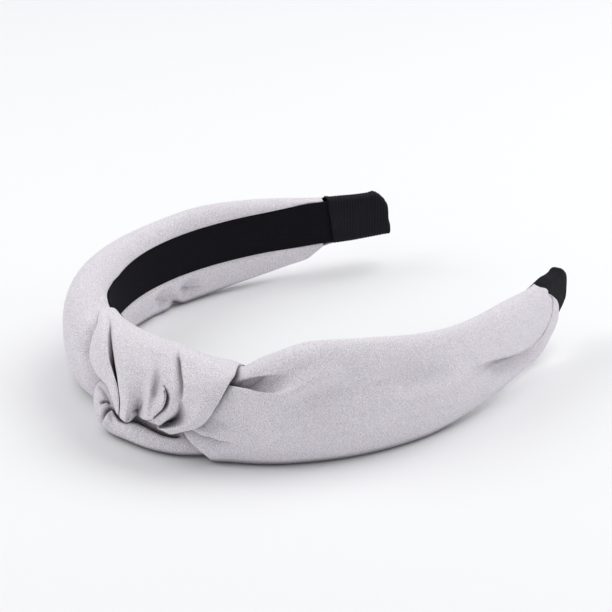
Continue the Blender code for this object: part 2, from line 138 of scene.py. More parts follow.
# Sprung hoop: a thin moulded plastic strip that carries everything, with its radius of bend at equal
# steps from the crown to the tip. It is wholly hidden in the cloth and keeps its CAD solid.
HOOP_HALF_LENGTH = 186.4
HOOP_OVERRUN = 6.0
HOOP_SAMPLES = 1601
HOOP_RADII = np.array([79.5, 56.0, 66.0, 83.0, 121.0, 315.0, 5000.0])

hoop_arc = np.linspace(0.0, HOOP_HALF_LENGTH + HOOP_OVERRUN, HOOP_SAMPLES)
hoop_bend = np.interp(hoop_arc, np.linspace(0.0, HOOP_HALF_LENGTH, len(HOOP_RADII)), 1 / HOOP_RADII)
hoop_step = hoop_arc[1] - hoop_arc[0]
hoop_heading = np.append(0.0, np.cumsum((hoop_bend[1:] + hoop_bend[:-1]) / 2 * hoop_step))
hoop_x = np.append(0.0, np.cumsum((np.cos(hoop_heading[1:]) + np.cos(hoop_heading[:-1])) / 2 * hoop_step))
hoop_y = np.append(0.0, np.cumsum((np.sin(hoop_heading[1:]) + np.sin(hoop_heading[:-1])) / 2 * hoop_step))


def on_band(s, n, z):
    """Points of the band in metres from arrays of places in millimetres."""
    along = np.abs(s)
    heading = np.interp(along, hoop_arc, hoop_heading)
    x = np.sign(s) * (np.interp(along, hoop_arc, hoop_x) + n * np.sin(heading))
    y = np.interp(along, hoop_arc, hoop_y) - n * np.cos(heading)
    return np.stack((x * MM, y * MM + crown_y, z * MM + mid_height), axis=-1)


plastic = bpy.data.materials.new("moulded_hoop_plastic")
plastic.use_nodes = True
plastic_nodes = plastic.node_tree
plastic_surface = plastic_nodes.nodes["Principled BSDF"]
plastic_surface.inputs["Base Color"].default_value = (0.030, 0.030, 0.032, 1.0)
plastic_grain = plastic_nodes.nodes.new("ShaderNodeTexNoise")
plastic_grain.inputs["Scale"].default_value = 900.0
plastic_place = plastic_nodes.nodes.new("ShaderNodeTexCoord")
plastic_nodes.links.new(plastic_place.outputs["Object"], plastic_grain.inputs["Vector"])
plastic_gloss = plastic_nodes.nodes.new("ShaderNodeMapRange")
plastic_gloss.inputs["To Min"].default_value = 0.38
plastic_gloss.inputs["To Max"].default_value = 0.52
plastic_nodes.links.new(plastic_grain.outputs["Fac"], plastic_gloss.inputs["Value"])
plastic_nodes.links.new(plastic_gloss.outputs["Result"], plastic_surface.inputs["Roughness"])
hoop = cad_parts["core_hoop"]
hoop.data.materials.clear()
hoop.data.materials.append(plastic)

# Sleeves: one wide strip of soft crepe on each arm, folded round the hoop with its long edges tucked
# under the lining, full next to the knot and drawn in over the tip. The cloth keeps soft pleats there.
CLOTH_COLOUR = (0.806, 0.767, 0.826)
CLOTH_SHELL = 0.45
CLOTH_ROUNDNESS = 0.92
CREASE_SHADE = 0.60
SLEEVE_END = 162.1
# Height of the table from the hoop's mid plane, and the reach downwards of cloth that rests on it
TABLE_LEVEL = -20.15
RESTING = 20.8
# Arc lengths where the sleeves come out of the knot
RIGHT_EDGE = 36.0
LEFT_EDGE = 38.0
# Inner face of the cloth, its bulge inwards between knot and tip, and the length of the bulge's rise
INNER_FACE = -2.0
INNER_BULGE = 2.2
BULGE_RISE = 25.0
# Tucked long edge under the lining as (place outwards, height), and where its round begins
TUCK = ((-1.5, 4.0), (-1.5, 6.4), (-1.55, 7.2))
TUCK_HEIGHT = 8.3
TUCK_ROUND = 0.8

# Arc length, reach over and under the mid plane, and fullness outwards
RIGHT_RUN = (
    (0.0, 8.0, 9.8, 12.5), (16.0, 8.0, 9.8, 12.5), (28.0, 8.4, 19.6, 13.0), (36.0, 9.2, RESTING, 13.5),
    (46.0, 15.5, RESTING, 13.0), (61.0, 20.0, RESTING, 11.0), (79.0, 18.5, RESTING, 8.6),
    (95.0, 15.8, RESTING, 6.8), (114.0, 13.3, 19.2, 5.6), (133.0, 12.1, 18.2, 4.8),
    (150.0, 10.8, 17.4, 4.2), (162.0, 9.6, 17.6, 3.6), (175.0, 8.9, 14.4, 3.1), (188.0, 8.4, 8.6, 2.7),
)
LEFT_RUN = (
    (0.0, 8.0, 17.5, 12.5), (8.0, 8.0, 17.5, 12.5), (18.0, 8.6, 17.8, 13.0), (27.0, 9.4, 18.8, 13.5),
    (40.5, 12.4, 20.5, 12.8), (61.0, 13.6, RESTING, 10.8), (90.5, 13.6, RESTING, 7.4),
    (111.0, 14.1, 20.4, 5.8), (131.0, 12.7, 18.4, 5.0), (148.5, 10.4, 15.9, 4.2),
    (156.0, 9.2, 14.9, 3.9), (160.5, 8.6, 12.2, 3.7), (164.0, 8.4, 9.6, 3.5), (175.0, 8.4, 9.0, 3.1),
    (188.0, 8.4, 8.6, 2.7),
)
KNOT_RUN = (
    (0.0, 8.0, 17.5, 12.5), (23.0, 8.0, 17.5, 12.5), (36.0, 9.2, RESTING, 13.5),
    (46.0, 15.5, RESTING, 13.0),
)
GIRTH_SAMPLES = 260
RUN_STEP = 0.5
INNER_POINTS = 40
OUTER_POINTS = 60


def ease(value):
    """Rise from 0 to 1 with level ends."""
    value = np.clip(value, 0.0, 1.0)
    return value * value * (3 - 2 * value)


def squared(wave, power):
    """Sine or cosine with its round drawn out by a power below 1."""
    return np.sign(wave) * np.abs(wave) ** power


def steady(rows, column, x):
    """Smooth values from typed rows, without overshoot between them."""
    xs = np.array([row[0] for row in rows])
    ys = np.array([row[column] for row in rows])
    width = np.diff(xs)
    slope = np.diff(ys) / width
    tangent = np.zeros(len(xs))
    same = slope[1:] * slope[:-1] > 0
    total = np.where(same, slope[1:] + slope[:-1], 1.0)
    tangent[1:-1] = np.where(same, 2 * slope[1:] * slope[:-1] / total, 0.0)
    index = np.clip(np.searchsorted(xs, x, side="right") - 1, 0, len(xs) - 2)
    t = np.clip((x - xs[index]) / width[index], 0.0, 1.0)
    return (
        (2 * t**3 - 3 * t**2 + 1) * ys[index]
        + (t**3 - 2 * t**2 + t) * width[index] * tangent[index]
        + (3 * t**2 - 2 * t**3) * ys[index + 1]
        + (t**3 - t**2) * width[index] * tangent[index + 1]
    )


def cloth_run(rows, edge):
    """Smooth outside of the cloth along one arm as tables over the arc length and the girth."""
    s = np.arange(0.0, rows[-1][0] + RUN_STEP / 2, RUN_STEP)
    top, bottom, front = (steady(rows, column, s) for column in (1, 2, 3))
    full = ease((s - edge) / BULGE_RISE) * ease((SLEEVE_END - s) / BULGE_RISE)
    inner = INNER_FACE - INNER_BULGE * full
    ridge = (front + inner) / 2
    upper = np.minimum(TUCK_HEIGHT, top - TUCK_ROUND)
    lower = np.minimum(TUCK_HEIGHT, bottom - TUCK_ROUND)

    def arc(middle, reach_n, reach_z, start, end, count):
        angle = np.radians(np.linspace(start, end, count, endpoint=False))
        cosine = squared(np.cos(angle), CLOTH_ROUNDNESS)
        sine = squared(np.sin(angle), CLOTH_ROUNDNESS)
        n = ridge[:, None] + reach_n[:, None] * cosine
        z = middle[:, None] + reach_z[:, None] * sine
        return np.stack((n, z), axis=-1)

    def lip(n, z):
        return np.stack((np.full_like(s, n), np.full_like(s, z)), axis=-1)[:, None]

    level = np.zeros_like(s)
    sections = [
        *[lip(n, z) for n, z in TUCK],
        arc(upper, ridge - inner, top - upper, 180, 90, INNER_POINTS),
        arc(level, front - ridge, top, 90, 0, OUTER_POINTS),
        arc(level, front - ridge, bottom, 0, -90, OUTER_POINTS),
        arc(-lower, ridge - inner, bottom - lower, -90, -181, INNER_POINTS + 1),
        *[lip(n, -z) for n, z in reversed(TUCK)],
    ]
    outline = np.concatenate(sections, axis=1)
    outline[..., 1] = np.maximum(outline[..., 1], TABLE_LEVEL)
    steps = np.linalg.norm(np.diff(outline, axis=1), axis=-1)
    length = np.concatenate((np.zeros((len(s), 1)), np.cumsum(steps, axis=1)), axis=1)
    share = np.linspace(0.0, 1.0, GIRTH_SAMPLES)
    table_n = np.empty((len(s), GIRTH_SAMPLES))
    table_z = np.empty((len(s), GIRTH_SAMPLES))
    for row in range(len(s)):
        wanted = share * length[row, -1]
        table_n[row] = np.interp(wanted, length[row], outline[row, :, 0])
        table_z[row] = np.interp(wanted, length[row], outline[row, :, 1])
    over_top = length[:, len(TUCK) + INNER_POINTS]
    return {"s": s, "n": table_n, "z": table_z, "girth": length[:, -1], "over_top": over_top}


def lay_cloth(run, side, s, g):
    """Points on the smooth cloth at arc length s and at girth g from its upper ridge."""
    along = np.clip(s * side, 0.0, run["s"][-1])
    row = np.clip((along / RUN_STEP).astype(int), 0, len(run["s"]) - 2)
    part = along / RUN_STEP - row
    girth = run["girth"][row] * (1 - part) + run["girth"][row + 1] * part
    over = run["over_top"][row] * (1 - part) + run["over_top"][row + 1] * part
    place = np.clip((g + over) / girth, 0.0, 1.0) * (GIRTH_SAMPLES - 1)
    column = np.clip(place.astype(int), 0, GIRTH_SAMPLES - 2)
    rest = place - column
    found = []
    for values in (run["n"], run["z"]):
        near = values[row, column] * (1 - rest) + values[row, column + 1] * rest
        far = values[row + 1, column] * (1 - rest) + values[row + 1, column + 1] * rest
        found.append(near * (1 - part) + far * part)
    return on_band(along * side, found[0], found[1])


def lift_cloth(surface, s, g, lift):
    """Points raised off a smooth cloth surface by the lift, square to it."""
    reach = 0.4
    along = surface(s + reach, g) - surface(s - reach, g)
    down = surface(s, g + reach) - surface(s, g - reach)
    normal = np.cross(down, along)
    normal /= np.maximum(np.linalg.norm(normal, axis=-1, keepdims=True), 1e-12)
    points = surface(s, g) + normal * (lift * MM)[..., None]
    points[..., 2] = np.maximum(points[..., 2], mid_height + TABLE_LEVEL * MM)
    return points


def crease_path(points, count=90):
    """Smooth line through typed points, as sample points and the share of the way along."""
    knots = np.array(points, dtype=float)
    padded = np.vstack((2 * knots[0] - knots[1], knots, 2 * knots[-1] - knots[-2]))
    place = np.linspace(0.0, len(knots) - 1 - 1e-9, count)
    index = place.astype(int)
    t = (place - index)[:, None]
    a, b, c, d = (padded[index + shift] for shift in range(4))
    line = 0.5 * (2 * b + (c - a) * t + (2 * a - 5 * b + 4 * c - d) * t**2 + (3 * b - a - 3 * c + d) * t**3)
    return line, place / (len(knots) - 1)


def fading(along, fade):
    """Strength along a line, which rises over the first share of it and falls over the last."""
    strength = ease(along / fade[0]) if fade[0] else np.ones_like(along)
    return strength * (ease((1 - along) / fade[1]) if fade[1] else 1.0)


PLEAT_STEEPNESS = 1.4
PLEAT_SPREAD = 2.2
PLEAT_END_ROUND = 2.0


def pleat(s, g, path, overlap, width, lift, sink, fade):
    """Shift along s and g and lift of cloth that is folded over itself along a line of (s, g).

    The layer to the left of the line's direction lies on top, and the line is its visible edge.
    """
    sample = np.linspace(0.0, 3.0, 61)
    reach = -np.min(sample * width - overlap * sample * np.exp((1 - sample**2) / 2))
    line, share = crease_path(path)
    offset_s = s[..., None] - line[:, 0]
    offset_g = g[..., None] - line[:, 1]
    nearest = np.argmin(offset_s**2 + offset_g**2, axis=-1)
    direction = np.gradient(line, axis=0)
    direction /= np.linalg.norm(direction, axis=1, keepdims=True)
    across = np.stack((direction[:, 1], -direction[:, 0]), axis=1)[nearest]
    gap_s = s - line[nearest, 0]
    gap_g = g - line[nearest, 1]
    distance = gap_s * across[..., 0] + gap_g * across[..., 1]
    beyond = np.maximum(np.hypot(gap_s, gap_g) - np.abs(distance), 0.0)
    along = share[nearest]
    strength = fading(along, fade) * np.exp(-((beyond / PLEAT_END_ROUND) ** 2))
    u = (distance - reach * strength) / width
    shift = -overlap * u * np.exp((1 - u * u) / 2) * strength
    step = np.where(u > 0, lift, sink) * np.tanh(PLEAT_STEEPNESS * u)
    raised = step * np.exp(-((u / PLEAT_SPREAD) ** 2) / 2) * strength
    return shift * across[..., 0], shift * across[..., 1], raised


def hollow(s, g, path, depth, width, fade):
    """Lift of a soft valley (depth below 0) or ridge along a line of (s, g)."""
    line, share = crease_path(path)
    reach = (s[..., None] - line[:, 0]) ** 2 + (g[..., None] - line[:, 1]) ** 2
    nearest = np.argmin(reach, axis=-1)
    strength = fading(share[nearest], fade)
    return depth * strength * np.exp(-np.min(reach, axis=-1) / width**2)


def cloth_object(name, points, material, painted_crease_shade=None):
    """Closed thin cloth from a grid of points, with the painted shade of its sharp creases where it has
    any.
    """
    rows, columns = points.shape[:2]
    index = np.arange(rows * columns).reshape(rows, columns)
    corners = (index[:-1, :-1], index[:-1, 1:], index[1:, 1:], index[1:, :-1])
    faces = np.stack(corners, axis=-1).reshape(-1, 4)
    mesh = bpy.data.meshes.new(name)
    mesh.from_pydata(points.reshape(-1, 3).tolist(), [], faces.tolist())
    mesh.shade_smooth()
    mesh.materials.append(material)
    if painted_crease_shade is not None:
        mesh.attributes.new("painted_crease_shade", "FLOAT", "POINT").data.foreach_set("value", painted_crease_shade.reshape(-1))
    piece = bpy.data.objects.new(name, mesh)
    scene.collection.objects.link(piece)
    thickness = piece.modifiers.new("cloth thickness", "SOLIDIFY")
    thickness.thickness = CLOTH_SHELL * MM
    thickness.offset = -1.0
    thickness.use_even_offset = False
    return piece


# Crepe: twisted yarns that stand up as fine irregular grains, with a faint slow change of tone
GRAIN_STEPS = (1.0, 1.4)
SLOW_TONE_SPREAD = 0.10

crepe_weave = bpy.data.node_groups.new("crepe_weave", "ShaderNodeTree")
for label, low in (("Grain Scale", 1.0), ("Tone Spread", 0.1)):
    socket = crepe_weave.interface.new_socket(label, in_out="INPUT", socket_type="NodeSocketFloat")
    socket.default_value = low
crepe_weave.interface.new_socket("Colour", in_out="INPUT", socket_type="NodeSocketColor")
crepe_weave.interface.new_socket("Grain Colour", in_out="OUTPUT", socket_type="NodeSocketColor")
crepe_weave.interface.new_socket("Height", in_out="OUTPUT", socket_type="NodeSocketFloat")
weave_in = crepe_weave.nodes.new("NodeGroupInput")
weave_out = crepe_weave.nodes.new("NodeGroupOutput")
weave_place = crepe_weave.nodes.new("ShaderNodeTexCoord")


def weave_node(kind, **values):
    """Node of the crepe weave with its plain input values."""
    node = crepe_weave.nodes.new(kind)
    for key, value in values.items():
        node.inputs[key].default_value = value
    return node


def math_node(tree, operation, first, second=0.0):
    """Output of a new math node of a tree, fed from sockets or numbers."""
    node = tree.nodes.new("ShaderNodeMath")
    node.operation = operation
    for place, value in enumerate((first, second)):
        if isinstance(value, (int, float)):
            node.inputs[place].default_value = value
        else:
            tree.links.new(value, node.inputs[place])
    return node.outputs[0]


grains = []
for finer in GRAIN_STEPS:
    grain = weave_node("ShaderNodeTexNoise", Detail=1.0, Roughness=0.5)
    crepe_weave.links.new(weave_place.outputs["Object"], grain.inputs["Vector"])
    grain_scale = math_node(crepe_weave, "MULTIPLY", weave_in.outputs["Grain Scale"], finer)
    crepe_weave.links.new(grain_scale, grain.inputs["Scale"])
    grains.append(grain.outputs["Fac"])
grain_height = math_node(crepe_weave, "ADD", grains[0], grains[1])
slow = weave_node("ShaderNodeTexNoise", Scale=55.0, Detail=2.0)
crepe_weave.links.new(weave_place.outputs["Object"], slow.inputs["Vector"])
slow_offset = math_node(crepe_weave, "SUBTRACT", slow.outputs["Fac"], 0.5)
slow_tone = math_node(crepe_weave, "MULTIPLY", slow_offset, SLOW_TONE_SPREAD)
fine_offset = math_node(crepe_weave, "SUBTRACT", grain_height, 1.0)
fine_tone = math_node(crepe_weave, "MULTIPLY", fine_offset, weave_in.outputs["Tone Spread"])
tone = math_node(crepe_weave, "ADD", math_node(crepe_weave, "ADD", slow_tone, fine_tone), 1.0)
tinted = crepe_weave.nodes.new("ShaderNodeVectorMath")
tinted.operation = "SCALE"
crepe_weave.links.new(weave_in.outputs["Colour"], tinted.inputs[0])
crepe_weave.links.new(tone, tinted.inputs["Scale"])
crepe_weave.links.new(tinted.outputs["Vector"], weave_out.inputs["Grain Colour"])
crepe_weave.links.new(grain_height, weave_out.inputs["Height"])

crepe = bpy.data.materials.new("lavender_crepe")
crepe.use_nodes = True
crepe_nodes = crepe.node_tree
crepe_surface = crepe_nodes.nodes["Principled BSDF"]
crepe_surface.inputs["Roughness"].default_value = 0.92
crepe_surface.inputs["Specular IOR Level"].default_value = 0.15
crepe_surface.inputs["Sheen Weight"].default_value = 0.12
crepe_surface.inputs["Sheen Roughness"].default_value = 0.5
crepe_group = crepe_nodes.nodes.new("ShaderNodeGroup")
crepe_group.node_tree = crepe_weave
crepe_group.inputs["Grain Scale"].default_value = 3900.0
crepe_group.inputs["Tone Spread"].default_value = 1.30
crepe_group.inputs["Colour"].default_value = (*CLOTH_COLOUR, 1.0)
# Painted shade: an ambient occlusion node darkens the crepe's colour in its folds and recesses, and in the
# gaps under and between the pieces, down to a fiftieth where they are deepest. The painted shade along
# creases from the mesh attribute multiplies in as well.
crepe_shade = crepe_nodes.nodes.new("ShaderNodeAmbientOcclusion")
crepe_shade.samples = 8
crepe_shade.inputs["Distance"].default_value = 0.0045
crepe_painted_fold_shade = crepe_nodes.nodes.new("ShaderNodeMapRange")
crepe_painted_fold_shade.inputs["From Min"].default_value = 0.0
crepe_painted_fold_shade.inputs["From Max"].default_value = 0.78
crepe_painted_fold_shade.inputs["To Min"].default_value = 0.02
crepe_painted_fold_shade.inputs["To Max"].default_value = 1.0
# Painted shade along sharp creases: the colour is scaled down by up to 60 % where the mesh's crease shade
# attribute is 1.
crepe_painted_crease = crepe_nodes.nodes.new("ShaderNodeAttribute")
crepe_painted_crease.attribute_name = "painted_crease_shade"
crepe_dark = crepe_nodes.nodes.new("ShaderNodeMath")
crepe_dark.operation = "MULTIPLY_ADD"
crepe_dark.inputs[1].default_value = -CREASE_SHADE
crepe_dark.inputs[2].default_value = 1.0
crepe_painted_shade = crepe_nodes.nodes.new("ShaderNodeMath")
crepe_painted_shade.operation = "MULTIPLY"
crepe_shaded_colour = crepe_nodes.nodes.new("ShaderNodeVectorMath")
crepe_shaded_colour.operation = "SCALE"
crepe_bump = crepe_nodes.nodes.new("ShaderNodeBump")
crepe_bump.inputs["Strength"].default_value = 0.55
crepe_bump.inputs["Distance"].default_value = 0.0004
crepe_nodes.links.new(crepe_shade.outputs["AO"], crepe_painted_fold_shade.inputs["Value"])
crepe_nodes.links.new(crepe_group.outputs["Grain Colour"], crepe_shaded_colour.inputs[0])
crepe_nodes.links.new(crepe_painted_crease.outputs["Fac"], crepe_dark.inputs[0])
crepe_nodes.links.new(crepe_painted_fold_shade.outputs["Result"], crepe_painted_shade.inputs[0])
crepe_nodes.links.new(crepe_dark.outputs["Value"], crepe_painted_shade.inputs[1])
crepe_nodes.links.new(crepe_painted_shade.outputs["Value"], crepe_shaded_colour.inputs["Scale"])
crepe_nodes.links.new(crepe_shaded_colour.outputs["Vector"], crepe_surface.inputs["Base Color"])
crepe_nodes.links.new(crepe_group.outputs["Height"], crepe_bump.inputs["Height"])
crepe_nodes.links.new(crepe_bump.outputs["Normal"], crepe_surface.inputs["Normal"])

right_run = cloth_run(RIGHT_RUN, RIGHT_EDGE)
left_run = cloth_run(LEFT_RUN, LEFT_EDGE)
knot_run = cloth_run(KNOT_RUN, RIGHT_EDGE)
SLEEVE_ROWS = 265
SLEEVE_COLUMNS = 176
# Shares of the rows and of the length, and of the columns and of the girth: closer where folds lie
ROW_SHARES = ((0, 0.3, 0.67, 1), (0, 0.26, 0.82, 1))
COLUMN_SHARES = ((0, 0.15, 0.85, 1), (0, 0.24, 0.76, 1))
EDGE_PASSES = 12
SLEEVE_TURN = 0.7
# The left sleeve runs on through the knot, where the wrap presses it down
LEFT_START = 0.5
THROUGH_KNOT = 26.0
THROUGH_ROWS = 14
KNOT_PRESS = 6.5
PRESS_START = -17.0
PRESS_RISE = 12.0
PRESS_GIRTH = 1.0
PRESS_GIRTH_RISE = 6.0

# Where the cloth ends over the tip, by the girth from its upper ridge: a slanted tongue on the outside
RIGHT_TONGUE = (
    (-60.0, 163.6), (-2.0, 163.6), (-1.0, 162.0), (0.7, 161.4), (1.4, 162.8), (2.5, 165.0),
    (3.7, 166.0), (4.8, 167.0), (5.5, 168.0), (6.8, 169.6), (9.6, 173.5), (11.7, 175.3), (13.6, 176.2),
    (18.5, 177.1), (23.0, 173.4), (25.9, 166.8), (28.0, SLEEVE_END), (90.0, SLEEVE_END),
)
LEFT_TONGUE = (
    (-60.0, SLEEVE_END), (-1.0, SLEEVE_END), (0.5, 163.5), (2.5, 167.0), (6.0, 172.0), (9.5, 175.5),
    (17.0, 178.0), (19.5, 176.0), (22.0, 166.0), (24.0, SLEEVE_END), (90.0, SLEEVE_END),
)

# Where the right sleeve starts under the wrap and, lower down, as a turned edge over the roll
FLAP_START = (
    (-60.0, 27.0), (14.0, 27.0), (20.0, 24.2), (22.2, 25.4), (23.1, 26.3), (24.3, 27.3), (25.7, 28.6),
    (27.0, 29.8), (28.1, 31.0), (29.2, 31.8), (30.6, 32.2), (33.0, 31.8), (37.0, 31.0), (120.0, 31.0),
)

# Lines on the right sleeve as (s, girth from the upper ridge): the pleat beside the knot with the lip
# over its pocket, the front layer of the flap over the roll with a dimple in its edge, the fold that
# closes over the tip with the line of painted shade below it, and the soft ridges and valleys of the arm
KNOT_PLEAT = (
    (57.5, 12.7), (54.7, 13.1), (51.6, 12.9), (49.4, 12.5), (47.2, 11.8), (45.2, 10.9), (43.0, 9.1),
    (40.6, 7.3), (38.4, 5.9), (36.6, 5.0), (33.0, 3.2), (29.0, 1.2),
)
PLEAT_LIP = (
    (29.0, 0.6), (33.0, 2.4), (36.5, 4.0), (38.4, 4.2), (40.1, 4.6), (41.7, 5.2), (45.2, 6.7),
    (48.6, 7.7), (52.1, 8.7), (56.0, 9.6),
)
PLEAT_POCKET = (
    (29.0, 0.9), (36.5, 4.5), (39.5, 5.6), (42.4, 7.2), (46.0, 9.2), (49.0, 9.6), (52.0, 9.2),
    (55.8, 8.8), (60.0, 8.4), (64.0, 7.8),
)
FLAP_FOLD = (
    (25.0, 18.9), (27.9, 20.1), (29.3, 20.7), (30.7, 21.3), (32.0, 21.8), (33.3, 22.4), (34.5, 23.2),
    (35.7, 23.8), (37.0, 24.5), (38.2, 25.5), (41.0, 28.0),
)
EDGE_DIMPLE = ((29.0, 16.2), (34.3, 17.1), (37.2, 17.9), (42.0, 20.0))
TIP_FOLD = (
    (107.3, 16.8), (111.8, 16.9), (116.6, 16.2), (121.7, 16.0), (127.4, 16.8), (133.7, 17.9),
    (140.7, 18.9), (148.4, 19.4), (154.2, 18.9), (159.2, 17.4), (163.4, 15.1), (165.4, 14.0),
    (166.7, 12.7), (167.1, 10.8), (167.0, 9.0), (166.8, 7.2), (166.2, 5.0), (165.8, 3.7),
)
# Line just below the tip fold along which shade is painted into the cloth's colour
TIP_SHADE_LINE = (
    (112.0, 18.8), (116.6, 18.6), (121.7, 18.4), (127.4, 19.2), (133.7, 20.3), (140.7, 21.3),
    (148.4, 21.6), (154.2, 20.9), (159.8, 19.2), (164.4, 16.8), (167.1, 15.1), (168.6, 13.4),
    (169.3, 10.9), (169.1, 8.6), (168.5, 6.8), (167.4, 5.0),
)
PLEAT_RIDGE = ((46.0, 14.2), (50.0, 14.8), (55.8, 14.2), (60.6, 12.4), (65.3, 10.6), (69.0, 9.4))
ARM_VALLEY = (
    (50.6, 17.8), (55.7, 18.2), (61.0, 17.7), (68.0, 16.3), (75.3, 15.5), (83.3, 14.6), (92.0, 14.4),
    (99.7, 15.0), (106.0, 15.6),
)
ARM_RIDGE = ((78.0, 21.0), (83.3, 20.8), (88.5, 20.2), (99.7, 19.5), (110.5, 18.3), (118.0, 17.2))
TIP_VALLEY = (
    (114.0, 19.7), (122.0, 19.4), (128.0, 20.2), (134.0, 21.2), (141.0, 22.2), (149.0, 22.6),
    (155.0, 22.0), (160.0, 20.4), (164.0, 18.2),
)
FLAP_BULGE = ((23.0, 20.0), (26.0, 23.5), (28.5, 26.5), (30.5, 28.8))

# Pleats: line, overlap, width, rise of the upper layer, drop of the lower one, and the shares of the line
# over which it fades in and out
RIGHT_PLEATS = (
    (KNOT_PLEAT, 2.8, 1.2, 1.0, 3.2, (0.6, 0.0)),
    (PLEAT_LIP, 1.8, 0.9, 0.4, 2.2, (0.0, 0.5)),
    (FLAP_FOLD, 2.8, 1.2, 1.8, 3.2, (0.0, 0.55)),
    (TIP_FOLD, 3.0, 1.0, 0.7, 1.5, (0.35, 0.12)),
)
# Valleys, with a depth below 0, and ridges: line, depth, width and fades
RIGHT_HOLLOWS = (
    (PLEAT_POCKET, -2.6, 2.2, (0.0, 0.75)),
    (EDGE_DIMPLE, -1.5, 2.0, (0.0, 0.6)),
    (PLEAT_RIDGE, 1.5, 2.6, (0.3, 0.3)),
    (ARM_VALLEY, -2.4, 4.2, (0.3, 0.3)),
    (ARM_RIDGE, 1.2, 3.0, (0.3, 0.5)),
    (TIP_VALLEY, -3.1, 4.2, (0.35, 0.3)),
    (FLAP_BULGE, 2.4, 5.2, (0.0, 0.0)),
)
# Half width and fades of the painted shade along the tip crease, and the lift from which cloth belongs to
# the upper layer, which is left unshaded
CREASE_WIDTH = 0.9
CREASE_FADE = (0.4, 0.1)
UPPER_LAYER = 0.1

# Lines on the left sleeve: the valley beside the knot and the three puckers of the far arm
CROWN_VALLEY = ((-22.8, 0.0), (-18.2, 2.3), (-15.3, 5.0), (-13.6, 7.6), (-12.5, 10.3), (-12.0, 13.5))
NEAR_PUCKER = ((-86.0, 50.5), (-89.5, 48.3), (-92.5, 45.5), (-94.5, 43.0))
MIDDLE_PUCKER = ((-96.0, 46.3), (-98.8, 42.8), (-100.3, 40.6), (-102.0, 37.0))
FAR_PUCKER = ((-101.3, 51.0), (-103.2, 48.5), (-104.4, 46.0), (-105.6, 43.0))
LEFT_HOLLOWS = (
    (CROWN_VALLEY, -3.0, 3.4, (0.3, 0.2)),
    (NEAR_PUCKER, -2.6, 3.4, (0.35, 0.3)),
    (FAR_PUCKER, -2.5, 3.2, (0.35, 0.3)),
    (MIDDLE_PUCKER, -2.0, 2.0, (0.2, 0.3)),
)


def sleeve_grid(run, first, last):
    """Arc length and girth of every grid point of one sleeve, from its first arc lengths to the tip."""
    share = np.interp(np.linspace(0, 1, SLEEVE_COLUMNS), *COLUMN_SHARES)
    edges = []
    for edge, guess in ((first, RIGHT_EDGE), (last, SLEEVE_END)):
        place = np.full(SLEEVE_COLUMNS, guess)
        for _ in range(EDGE_PASSES):
            girth = share * np.interp(place, run["s"], run["girth"])
            girth -= np.interp(place, run["s"], run["over_top"])
            place = (place + np.interp(girth, [row[0] for row in edge], [row[1] for row in edge])) / 2
        edges.append(place)
    starts, ends = edges
    way = np.interp(np.linspace(0, 1, SLEEVE_ROWS), *ROW_SHARES)[:, None]
    along = starts + (ends - starts) * way
    girth = np.interp(along, run["s"], run["girth"])
    over = np.interp(along, run["s"], run["over_top"])
    return along, share * girth - over


def fold_cloth(s, g, lift, pleats, hollows):
    """Places and lift of cloth after its pleats and hollows."""
    moved_s = s.copy()
    moved_g = g.copy()
    lift = lift.copy()
    for line, overlap, width, over, under, fade in pleats:
        shift_s, shift_g, raised = pleat(s, g, line, overlap, width, over, under, fade)
        moved_s += shift_s
        moved_g += shift_g
        lift += raised
    for line, depth, width, fade in hollows:
        lift += hollow(s, g, line, depth, width, fade)
    return moved_s, moved_g, lift


# Angles of the rows of a turned-under edge, and how far each runs back beneath the cloth
TURN_ANGLES = np.radians((25, 50, 75, 100, 130, 160, 180, 180, 180))
TURN_BACK = np.array((0, 0, 0, 0, 0, 0, 0, 1.2, 2.6))


def turn_under(s, g, lift, radius):
    """Rows put before the first one that turn the cloth's edge under in a small round."""
    out_s = s[0] - s[1]
    out_g = g[0] - g[1]
    size = np.maximum(np.hypot(out_s, out_g), 1e-9)
    reach = (radius * np.sin(TURN_ANGLES) - TURN_BACK)[::-1, None]
    drop = (radius * (1 - np.cos(TURN_ANGLES)))[::-1, None]
    rows_s = np.vstack((s[0] + out_s / size * reach, s))
    rows_g = np.vstack((g[0] + out_g / size * reach, g))
    return rows_s, rows_g, np.vstack((lift[0] - drop, lift))


def right_cloth(s, g):
    """Points on the smooth cloth of the right sleeve."""
    return lay_cloth(right_run, 1, s, g)


def knot_cloth(s, g):
    """Points on the smooth cloth below the knot, which runs on into the left sleeve."""
    near = lay_cloth(knot_run, 1, np.maximum(s, 1e-6), g)
    far = lay_cloth(left_run, -1, np.minimum(s, -1e-6), g)
    return np.where((s >= 0)[..., None], near, far)


right_s, right_g = sleeve_grid(right_run, FLAP_START, RIGHT_TONGUE)
folded = fold_cloth(right_s, right_g, np.zeros_like(right_s), RIGHT_PLEATS, RIGHT_HOLLOWS)
# Painted shade: a dark band in the colour of the under layer just below the tip fold, with none on the rows
# of the turned edge
right_painted_crease_shade = hollow(*folded[:2], TIP_SHADE_LINE, 1.0, CREASE_WIDTH, CREASE_FADE) * (folded[2] < UPPER_LAYER)
right_painted_crease_shade = np.vstack((np.zeros((len(TURN_BACK), SLEEVE_COLUMNS)), right_painted_crease_shade))
right_points = lift_cloth(right_cloth, *turn_under(*folded, SLEEVE_TURN))
sleeve_right = cloth_object("right_sleeve_cloth", right_points, crepe, right_painted_crease_shade)

